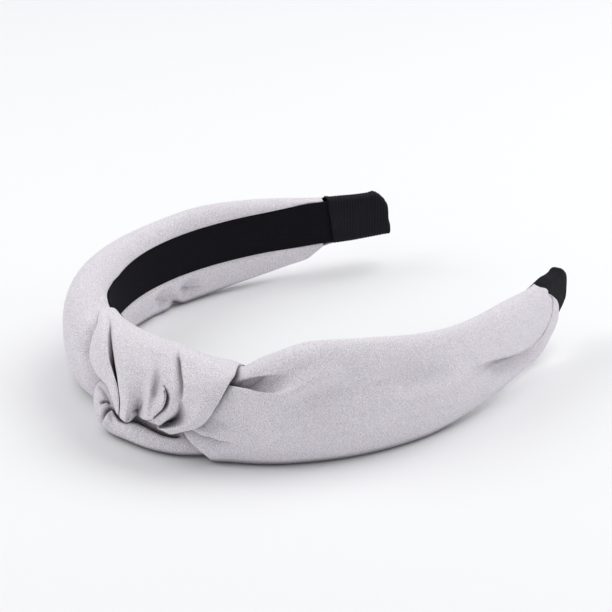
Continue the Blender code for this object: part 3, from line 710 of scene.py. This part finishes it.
left_s, left_g = sleeve_grid(left_run, ((-60.0, LEFT_START), (120.0, LEFT_START)), LEFT_TONGUE)
left_s = -left_s[::-1]
left_g = left_g[::-1]
through = np.linspace(LEFT_START, THROUGH_KNOT, THROUGH_ROWS)
left_s = np.vstack((left_s, np.repeat(through[:, None], SLEEVE_COLUMNS, axis=1)))
left_g = np.vstack((left_g, np.repeat(left_g[-1:], THROUGH_ROWS, axis=0)))
pressed = -KNOT_PRESS * ease((left_s - PRESS_START) / PRESS_RISE)
pressed *= ease((left_g - PRESS_GIRTH) / PRESS_GIRTH_RISE)
folded = fold_cloth(left_s, left_g, pressed, (), LEFT_HOLLOWS)
left_points = lift_cloth(knot_cloth, *folded)
sleeve_left = cloth_object("left_sleeve_cloth", left_points, crepe)

for sleeve, node in ((sleeve_right, "sleeve_right"), (sleeve_left, "sleeve_left")):
    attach(sleeve, "root")
    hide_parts(node)

# Knot wrap: the strip's crossing end, turned over the crown from behind and gathered towards the lower
# left, where its folds end as rounded fingers over the roll.
WRAP_ROWS = 170
WRAP_COLUMNS = 225
WRAP_SOFTENING = 5
WRAP_TURN = 0.75
FINGER_TURN = 1.3

# Threads of the wrap from its tuck behind the crown over the top and down to the finger tips, from the
# left edge to the right one: arc length, girth from the upper ridge, and height over the cloth below.
# Where a fold overlaps, the next thread runs back beneath it.
WRAP_THREADS = (
    # Left edge
    ((-25.5, -9.0, 1.7), (-25.5, -4.0, 1.0), (-16.3, 1.1, 1.3), (-11.8, 5.6, 1.5), (-9.3, 8.8, 2.0),
     (-4.6, 11.6, 3.0), (1.6, 13.2, 4.0), (4.3, 16.4, 4.8), (5.4, 20.0, 5.0)),
    # Left finger
    ((-22.0, -9.0, 1.7), (-22.0, -4.0, 1.6), (-13.3, 0.6, 2.7), (-6.5, 4.6, 3.2), (-2.2, 7.4, 3.8),
     (1.8, 9.6, 4.4), (5.2, 12.0, 5.2), (6.4, 15.8, 5.6), (6.6, 19.6, 5.6)),
    # Fold side
    ((-19.0, -9.0, 1.7), (-19.0, -4.0, 2.2), (-11.6, 0.1, 2.6), (-4.2, 4.2, 3.0), (0.3, 6.9, 3.5),
     (4.0, 9.0, 4.2), (6.8, 11.4, 5.0), (7.5, 15.2, 5.4), (6.8, 19.5, 5.4)),
    # Deep fold floor
    ((-17.5, -9.0, 1.7), (-17.5, -4.0, 2.6), (-11.2, -0.4, 2.3), (-4.5, 3.2, 1.4), (-0.3, 6.7, 0.6),
     (1.7, 11.2, -0.6), (2.6, 16.5, -0.4), (3.9, 19.6, 1.2), (4.1, 21.3, 2.2)),
    # Deep fold lip
    ((-16.3, -9.0, 1.7), (-16.3, -4.0, 3.0), (-10.1, -0.2, 3.6), (-0.6, 3.7, 4.6), (4.4, 6.2, 5.2),
     (7.5, 8.6, 5.8), (8.9, 11.4, 6.3), (9.2, 15.0, 6.6), (8.0, 19.7, 6.4)),
    # Main panel
    ((-7.0, -9.0, 1.7), (-7.0, -4.0, 4.6), (1.5, 1.3, 5.5), (6.2, 4.0, 5.5), (8.8, 6.1, 5.7),
     (10.6, 8.3, 6.1), (11.9, 10.8, 6.9), (12.0, 14.6, 7.6), (10.4, 19.5, 7.2)),
    # Soft valley
    ((1.0, -9.0, 1.7), (1.0, -4.0, 5.2), (7.4, 1.4, 6.0), (10.9, 3.5, 5.6), (13.3, 5.5, 5.6),
     (14.8, 7.6, 5.4), (14.8, 10.4, 4.6), (13.0, 15.4, 3.0), (9.7, 20.1, 1.0)),
    # Middle finger
    ((5.0, -9.0, 1.7), (5.0, -4.0, 5.5), (9.8, 1.4, 6.2), (13.4, 3.5, 5.8), (15.8, 5.4, 5.7),
     (17.3, 7.4, 6.0), (18.1, 9.5, 6.6), (18.2, 12.0, 7.2), (17.4, 16.3, 7.0)),
    # Hook valley
    ((9.0, -9.0, 1.7), (9.0, -4.0, 5.6), (13.0, 1.5, 6.3), (15.9, 3.3, 5.6), (17.6, 5.2, 4.5),
     (18.5, 7.3, 3.7), (18.7, 9.8, 4.4), (19.0, 11.6, 6.2), (18.8, 15.6, 6.8)),
    # Hook lip
    ((12.5, -9.0, 1.7), (12.5, -4.0, 5.7), (15.5, 1.4, 6.4), (18.0, 3.4, 5.8), (19.8, 5.4, 5.6),
     (21.3, 7.9, 5.7), (22.9, 9.4, 6.5), (22.7, 11.5, 7.0), (20.0, 15.0, 6.8)),
    # Hook floor
    ((13.5, -9.0, 1.7), (13.5, -4.0, 5.7), (16.6, 1.4, 6.4), (18.9, 3.4, 5.8), (20.4, 5.4, 5.4),
     (21.3, 8.1, 5.3), (18.3, 12.3, 1.2), (15.9, 16.5, 0.6), (12.9, 19.5, 0.8)),
    # Second finger
    ((15.5, -9.0, 1.7), (15.5, -4.0, 5.7), (18.2, 1.3, 6.4), (20.6, 3.3, 5.8), (22.5, 5.4, 5.5),
     (24.1, 7.5, 5.7), (24.6, 9.6, 6.0), (23.3, 12.0, 6.2), (18.1, 17.7, 5.8)),
    # Second lip
    ((18.5, -9.0, 1.7), (18.5, -4.0, 5.6), (20.3, 0.6, 5.6), (22.4, 2.4, 4.0), (24.2, 4.5, 3.2),
     (26.0, 7.0, 3.2), (26.2, 9.6, 3.8), (25.4, 12.4, 5.6), (20.6, 18.0, 5.6)),
    # Right hollow
    ((19.5, -9.0, 1.7), (19.5, -4.0, 5.4), (20.8, 0.6, 6.2), (23.2, 2.8, 5.4), (25.3, 4.8, 5.1),
     (27.1, 7.1, 5.2), (27.0, 9.6, 4.4), (23.6, 16.4, 0.8), (19.1, 20.8, 0.2)),
    # Right finger
    ((28.0, -9.0, 1.7), (28.0, -4.0, 4.0), (29.3, 0.6, 5.2), (31.3, 3.2, 4.8), (32.7, 5.5, 4.8),
     (33.0, 7.6, 4.9), (32.4, 10.2, 5.0), (28.8, 16.1, 5.0), (19.9, 20.1, 4.8)),
    # Right edge
    ((37.0, -9.0, 1.7), (37.0, -7.9, 1.0), (36.8, -4.9, 1.4), (38.3, 2.5, 2.2), (37.4, 5.3, 2.8),
     (35.8, 8.2, 3.2), (34.3, 11.1, 3.3), (30.5, 17.2, 3.4), (22.5, 21.1, 4.4)),
)


def spread(values, count, overshoot):
    """Smooth values between typed rows, with or without overshoot."""
    slope = np.diff(values, axis=0)
    middle = (slope[1:] + slope[:-1]) / 2
    if not overshoot:
        same = slope[1:] * slope[:-1] > 0
        total = np.where(same, slope[1:] + slope[:-1], 1.0)
        middle = np.where(same, 2 * slope[1:] * slope[:-1] / total, 0.0)
    tangent = np.concatenate((slope[:1], middle, slope[-1:]))
    place = np.linspace(0.0, len(values) - 1, count)
    index = np.minimum(place.astype(int), len(values) - 2)
    t = (place - index).reshape(-1, *[1] * (values.ndim - 1))
    return (
        (2 * t**3 - 3 * t**2 + 1) * values[index] + (t**3 - 2 * t**2 + t) * tangent[index]
        + (3 * t**2 - 2 * t**3) * values[index + 1] + (t**3 - t**2) * tangent[index + 1]
    )


threads = np.array(WRAP_THREADS).transpose(1, 0, 2)
wrap_net = spread(spread(threads, WRAP_ROWS, True).transpose(1, 0, 2), WRAP_COLUMNS, False)
for _ in range(WRAP_SOFTENING):
    wrap_net[1:-1] = (wrap_net[:-2] + 2 * wrap_net[1:-1] + wrap_net[2:]) / 4
folded = [wrap_net[..., axis] for axis in range(3)]


def turn_wrap(values):
    """Wrap with its left, right and finger edges turned under."""
    values = turn_under(*values, WRAP_TURN)
    values = turn_under(*(item[::-1] for item in values), WRAP_TURN)
    values = turn_under(*(item[::-1].T[::-1] for item in values), FINGER_TURN)
    return [item[::-1].T for item in values]


knot_points = lift_cloth(knot_cloth, *turn_wrap(folded))
knot_wrap = cloth_object("knot_wrap_cloth", knot_points, crepe)
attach(knot_wrap, "root")
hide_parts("knot_wrap")

# Knot roll: the strip's end, rolled up under the wrap from a curled eye on the left to the fold where
# it disappears beneath the right sleeve. It lies on the table.
ROLL_ROWS = 250
ROLL_COLUMNS = 180
ROLL_RADIUS = 5.5
# Arc length, place outwards and height of the roll's middle, and half its depth and height
ROLL_ROUTE = (
    (-13.0, 7.6, -9.6, 2.6, 3.0), (-8.5, 9.5, -11.4, 4.3, 4.6), (-3.0, 11.1, -13.6, 5.4, 6.3),
    (3.0, 10.7, -15.7, 5.4, 4.6), (6.2, 10.5, -14.8, 5.5, 5.5), (13.0, 10.0, -15.4, 5.5, 5.0),
    (21.5, 8.4, -16.0, 4.9, 4.3), (30.0, 4.4, -16.6, 4.0, 3.7), (38.0, 2.4, -17.2, 3.0, 3.0),
)
# Shares of the rows and their arc lengths, and of the columns and their turn round the roll
ROLL_WAY = ((0.0, 0.14, 0.62, 1.0), (-13.5, -6.0, 9.0, 38.5))
ROLL_TURN = ((0.0, 0.15, 0.75, 1.0), (-math.pi, -1.0, 1.9, math.pi))
# Arc lengths where the roll closes, and the length over which it does
ROLL_LEFT_END = -13.6
ROLL_RIGHT_END = 38.6
ROLL_CLOSING = 3.0

# Lines on the roll as (s, girth from its upper ridge): the edge that curls round the eye at the left end
# and runs on below the fingers, the brow and the valley left of it, the swelling in the eye, and the
# groove under the fingers
EYE_CURL = (
    (-1.8, 11.4), (-1.6, 9.8), (-1.0, 7.7), (-0.7, 5.9), (-0.4, 4.3), (0.0, 3.1), (1.1, 2.6),
    (1.8, 3.1), (3.1, 3.6), (4.3, 4.7), (5.5, 5.5), (6.9, 5.4), (8.2, 4.3), (8.9, 3.1),
)
EYE_BROW = ((-3.2, 5.5), (-2.8, 4.1), (-1.8, 2.7), (-0.7, 2.4))
EYE_VALLEY = ((-10.0, 3.6), (-6.5, 1.6), (-2.5, 1.6), (-0.8, 2.3))
EYE_SWELL = ((0.1, 9.8), (0.6, 7.6), (1.0, 5.9), (1.7, 5.0))
FINGER_GROOVE = (
    (7.6, 3.2), (9.0, 2.5), (10.8, 2.3), (13.5, 2.3), (16.1, 2.8), (18.4, 3.2), (20.8, 3.1),
    (23.0, 2.2),
)
ROLL_HOLLOWS = (
    (EYE_CURL, -2.4, 0.5, (0.25, 0.0)),
    (EYE_BROW, -1.8, 0.45, (0.3, 0.1)),
    (EYE_VALLEY, -0.8, 0.8, (0.3, 0.2)),
    (EYE_SWELL, 0.8, 1.3, (0.3, 0.3)),
    (FINGER_GROOVE, -4.0, 1.3, (0.1, 0.1)),
)


def roll_cloth(s, g):
    """Points on the roll at arc length s and at girth g, from its upper ridge downwards on the outside."""
    n, z, half_n, half_z = (steady(ROLL_ROUTE, column, s) for column in (1, 2, 3, 4))
    close = np.sqrt(ease((s - ROLL_LEFT_END) / ROLL_CLOSING) * ease((ROLL_RIGHT_END - s) / ROLL_CLOSING))
    height = np.maximum(z + half_z * close * np.cos(g / ROLL_RADIUS), TABLE_LEVEL)
    return on_band(s, n + half_n * close * np.sin(g / ROLL_RADIUS), height)


roll_way = np.interp(np.linspace(0, 1, ROLL_ROWS), *ROLL_WAY)
roll_round = np.interp(np.linspace(0, 1, ROLL_COLUMNS), *ROLL_TURN)
roll_s = np.repeat(roll_way[:, None], ROLL_COLUMNS, axis=1)
roll_g = np.repeat(ROLL_RADIUS * roll_round[None, :], ROLL_ROWS, axis=0)
folded = fold_cloth(roll_s, roll_g, np.zeros_like(roll_s), (), ROLL_HOLLOWS)
roll_points = lift_cloth(roll_cloth, *folded)
knot_roll = cloth_object("knot_roll_cloth", roll_points, crepe)
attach(knot_roll, "root")
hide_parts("knot_roll")

# Lining: a flat black woven ribbon glued along the inner face over the cloth's tucked edges. It lifts
# a little over the wrap's edge at the crown and ends square against the tip covers.
LINING_END = 166.2
LINING_HALF = 8.0
LINING_FACE = -2.25
LINING_THICKNESS = 0.6
# Lift over the wrap's edge, the arc lengths where it begins and ends, and the length of its rise
CROWN_STEP = 1.5
CROWN_LEFT = -33.0
CROWN_RIGHT = 42.0
CROWN_RISE = 5.6
LINING_ROWS = 420
LINING_COLUMNS = 24

lining_black = bpy.data.materials.new("black_lining_ribbon")
lining_black.use_nodes = True
lining_nodes = lining_black.node_tree
lining_surface = lining_nodes.nodes["Principled BSDF"]
lining_surface.inputs["Roughness"].default_value = 0.78
lining_surface.inputs["Specular IOR Level"].default_value = 0.06
lining_place = lining_nodes.nodes.new("ShaderNodeTexCoord")
lining_yarn = lining_nodes.nodes.new("ShaderNodeTexNoise")
lining_yarn.inputs["Scale"].default_value = 2000.0
lining_nodes.links.new(lining_place.outputs["Object"], lining_yarn.inputs["Vector"])
lining_tone = lining_nodes.nodes.new("ShaderNodeMix")
lining_tone.data_type = "RGBA"
lining_tone.inputs["A"].default_value = (0.004, 0.004, 0.006, 1.0)
lining_tone.inputs["B"].default_value = (0.013, 0.012, 0.017, 1.0)
lining_nodes.links.new(lining_yarn.outputs["Fac"], lining_tone.inputs["Factor"])
lining_nodes.links.new(lining_tone.outputs["Result"], lining_surface.inputs["Base Color"])
lining_bump = lining_nodes.nodes.new("ShaderNodeBump")
lining_bump.inputs["Strength"].default_value = 0.3
lining_bump.inputs["Distance"].default_value = 0.0002
lining_nodes.links.new(lining_yarn.outputs["Fac"], lining_bump.inputs["Height"])
lining_nodes.links.new(lining_bump.outputs["Normal"], lining_surface.inputs["Normal"])

lining_s = np.linspace(-LINING_END, LINING_END, LINING_ROWS)[:, None] * np.ones((1, LINING_COLUMNS))
lining_z = np.linspace(-LINING_HALF, LINING_HALF, LINING_COLUMNS)[None, :] * np.ones((LINING_ROWS, 1))
crown_lift = CROWN_STEP * ease((lining_s - CROWN_LEFT) / CROWN_RISE)
crown_lift *= ease((CROWN_RIGHT - lining_s) / CROWN_RISE)
lining_n = LINING_FACE - LINING_THICKNESS - crown_lift
lining_points = on_band(lining_s, lining_n, lining_z)
lining = cloth_object("lining_ribbon_cloth", lining_points, lining_black)
lining.modifiers["cloth thickness"].thickness = LINING_THICKNESS * MM
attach(lining, "root")
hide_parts("lining_ribbon")

# Tip covers: a short black grosgrain ribbon folded over each end of the hoop and glued, so that its
# cross ribs stand upright. The near one is rounded at both corners, the far one at its upper corner.
TIP_OUTER = 1.35
TIP_INNER = -3.1
# Outline of each cover from its open end under the cloth to the fold: arc length, upper and lower edge
NEAR_TIP = (
    (164.0, 7.3, -8.0), (167.0, 8.0, -8.1), (171.0, 8.0, -8.1), (176.0, 7.2, -8.1), (180.0, 6.9, -7.9),
    (182.4, 7.3, -7.1), (184.3, 6.3, -6.0), (185.8, 4.8, -4.6), (186.6, 3.2, -3.0), (186.9, 1.2, -1.0),
)
FAR_TIP = (
    (163.4, 8.6, -8.4), (165.5, 8.1, -8.4), (170.0, 7.9, -8.4), (176.0, 7.6, -8.2), (180.0, 7.6, -8.0),
    (182.0, 8.0, -7.9), (183.9, 7.0, -7.8), (185.9, 4.8, -7.7), (186.7, 2.7, -7.7),
    (187.0, -1.3, -7.6), (187.6, -4.5, -7.6), (188.1, -7.2, -7.6),
)
TIPS = (
    ("right_tip_cover", "tip_ribbon_right", 1, 0.0, NEAR_TIP),
    ("left_tip_cover", "tip_ribbon_left", -1, 2.4, FAR_TIP),
)
TIP_RING = 72
TIP_STATIONS = 220
TIP_CROWDING = 1.5
# Length over which the fold rounds in, what is left of its depth, and the powers that square its section
TIP_CLOSING = 1.2
TIP_CLOSED = 0.03
TIP_SQUARE_N = 0.35
TIP_SQUARE_Z = 0.55
RIB_PITCH = 1.1
RIB_TURN = 2 * math.pi / RIB_PITCH
RIB_HEIGHT = 0.20
# Share of the ribbon's colour taken away in the grooves between the ribs, as painted shade
RIB_PAINTED_SHADE = 0.25
RIBBON_THICKNESS = 0.5

grosgrain = bpy.data.materials.new("black_grosgrain")
grosgrain.use_nodes = True
grosgrain_nodes = grosgrain.node_tree
grosgrain_surface = grosgrain_nodes.nodes["Principled BSDF"]
grosgrain_surface.inputs["Roughness"].default_value = 0.62
grosgrain_surface.inputs["Specular IOR Level"].default_value = 0.10
grosgrain_place = grosgrain_nodes.nodes.new("ShaderNodeTexCoord")
grosgrain_yarn = grosgrain_nodes.nodes.new("ShaderNodeTexNoise")
grosgrain_yarn.inputs["Scale"].default_value = 2600.0
grosgrain_nodes.links.new(grosgrain_place.outputs["Object"], grosgrain_yarn.inputs["Vector"])
grosgrain_tone = grosgrain_nodes.nodes.new("ShaderNodeMix")
grosgrain_tone.data_type = "RGBA"
grosgrain_tone.inputs["A"].default_value = (0.010, 0.010, 0.014, 1.0)
grosgrain_tone.inputs["B"].default_value = (0.030, 0.030, 0.038, 1.0)
grosgrain_nodes.links.new(grosgrain_yarn.outputs["Fac"], grosgrain_tone.inputs["Factor"])
# Painted shade: the colour follows the ribs, full on their crests and halved in the grooves between them
grosgrain_along = grosgrain_nodes.nodes.new("ShaderNodeAttribute")
grosgrain_along.attribute_name = "along"
grosgrain_turn = math_node(grosgrain_nodes, "MULTIPLY", grosgrain_along.outputs["Fac"], RIB_TURN)
grosgrain_crest = math_node(grosgrain_nodes, "COSINE", grosgrain_turn)
grosgrain_painted_rib_shade = grosgrain_nodes.nodes.new("ShaderNodeMath")
grosgrain_painted_rib_shade.operation = "MULTIPLY_ADD"
grosgrain_painted_rib_shade.inputs[1].default_value = RIB_PAINTED_SHADE
grosgrain_painted_rib_shade.inputs[2].default_value = 1 - RIB_PAINTED_SHADE
grosgrain_nodes.links.new(grosgrain_crest, grosgrain_painted_rib_shade.inputs[0])
grosgrain_shade = grosgrain_nodes.nodes.new("ShaderNodeVectorMath")
grosgrain_shade.operation = "SCALE"
grosgrain_nodes.links.new(grosgrain_tone.outputs["Result"], grosgrain_shade.inputs[0])
grosgrain_nodes.links.new(grosgrain_painted_rib_shade.outputs[0], grosgrain_shade.inputs["Scale"])
grosgrain_nodes.links.new(grosgrain_shade.outputs["Vector"], grosgrain_surface.inputs["Base Color"])

rib_tree = bpy.data.node_groups.new("grosgrain_ribs", "GeometryNodeTree")
rib_tree.interface.new_socket("Geometry", in_out="INPUT", socket_type="NodeSocketGeometry")
rib_inputs = {}
for label, kind in (("Rib Pitch", "NodeSocketFloat"), ("Rib Height", "NodeSocketFloat"),
                    ("Ribbon", "NodeSocketMaterial")):
    rib_inputs[label] = rib_tree.interface.new_socket(label, in_out="INPUT", socket_type=kind).identifier
rib_tree.interface.new_socket("Geometry", in_out="OUTPUT", socket_type="NodeSocketGeometry")
rib_in = rib_tree.nodes.new("NodeGroupInput")
rib_out = rib_tree.nodes.new("NodeGroupOutput")
rib_along = rib_tree.nodes.new("GeometryNodeInputNamedAttribute")
rib_along.inputs["Name"].default_value = "along"
rib_count = math_node(rib_tree, "DIVIDE", rib_along.outputs["Attribute"], rib_in.outputs["Rib Pitch"])
rib_turn = math_node(rib_tree, "MULTIPLY", rib_count, 2 * math.pi)
rib_wave = math_node(rib_tree, "COSINE", rib_turn)
rib_crest = math_node(rib_tree, "MULTIPLY", rib_wave, rib_in.outputs["Rib Height"])
rib_normal = rib_tree.nodes.new("GeometryNodeInputNormal")
rib_offset = rib_tree.nodes.new("ShaderNodeVectorMath")
rib_offset.operation = "SCALE"
rib_tree.links.new(rib_normal.outputs["Normal"], rib_offset.inputs[0])
rib_tree.links.new(rib_crest, rib_offset.inputs["Scale"])
rib_raise = rib_tree.nodes.new("GeometryNodeSetPosition")
rib_tree.links.new(rib_in.outputs["Geometry"], rib_raise.inputs["Geometry"])
rib_tree.links.new(rib_offset.outputs["Vector"], rib_raise.inputs["Offset"])
rib_real = rib_tree.nodes.new("GeometryNodeRealizeInstances")
rib_tree.links.new(rib_raise.outputs["Geometry"], rib_real.inputs["Geometry"])
rib_finish = rib_tree.nodes.new("GeometryNodeSetMaterial")
rib_tree.links.new(rib_real.outputs["Geometry"], rib_finish.inputs["Geometry"])
rib_tree.links.new(rib_in.outputs["Ribbon"], rib_finish.inputs["Material"])
rib_tree.links.new(rib_finish.outputs["Geometry"], rib_out.inputs["Geometry"])


def tip_cover(name, side, slant, outline):
    """Folded ribbon over one tip, closed at its end and ribbed by its node tree."""
    way = np.linspace(0.0, 1.0, TIP_STATIONS)
    start, end = outline[0][0], outline[-1][0]
    along = start + (end - start) * (1 - (1 - way) ** TIP_CROWDING)
    upper = steady(outline, 1, along)
    lower = steady(outline, 2, along)
    closing = np.maximum((along - end + TIP_CLOSING) / TIP_CLOSING, 0.0)
    slim = np.sqrt(np.maximum(1 - closing**2, TIP_CLOSED))
    angle = np.linspace(0.0, 2 * math.pi, TIP_RING, endpoint=False)
    round_n = squared(np.cos(angle), TIP_SQUARE_N)
    round_z = squared(np.sin(angle), TIP_SQUARE_Z)
    middle_n = (TIP_OUTER + TIP_INNER) / 2
    half_n = (TIP_OUTER - TIP_INNER) / 2
    n = middle_n + half_n * slim[:, None] * round_n[None, :]
    z = ((upper + lower) / 2)[:, None] + ((upper - lower) / 2)[:, None] * round_z[None, :]
    s = along[:, None] + slant * (1 - way)[:, None] * (1 - round_z)[None, :] / 2
    points = on_band(side * s, n, z).reshape(-1, 3)
    index = np.arange(TIP_STATIONS * TIP_RING).reshape(TIP_STATIONS, TIP_RING)
    after = np.roll(index, -1, axis=1)
    faces = np.stack((index[:-1], after[:-1], after[1:], index[1:]), axis=-1).reshape(-1, 4).tolist()
    faces.append(index[-1].tolist())
    if side < 0:
        faces = [face[::-1] for face in faces]
    mesh = bpy.data.meshes.new(name)
    mesh.from_pydata(points.tolist(), [], faces)
    attribute = mesh.attributes.new("along", "FLOAT", "POINT")
    attribute.data.foreach_set("value", s.reshape(-1))
    mesh.shade_smooth()
    cover = bpy.data.objects.new(name, mesh)
    scene.collection.objects.link(cover)
    ribs = cover.modifiers.new("ribs", "NODES")
    ribs.node_group = rib_tree
    ribs[rib_inputs["Rib Pitch"]] = RIB_PITCH
    ribs[rib_inputs["Rib Height"]] = RIB_HEIGHT * MM / 2
    ribs[rib_inputs["Ribbon"]] = grosgrain
    shown = cover.evaluated_get(bpy.context.evaluated_depsgraph_get())
    cover.data = bpy.data.meshes.new_from_object(shown)
    cover.modifiers.remove(ribs)
    thickness = cover.modifiers.new("ribbon thickness", "SOLIDIFY")
    thickness.thickness = RIBBON_THICKNESS * MM
    thickness.offset = -1.0
    return cover


for tip_name, tip_node, *tip_form in TIPS:
    tip = tip_cover(tip_name, *tip_form)
    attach(tip, "root")
    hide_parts(tip_node)
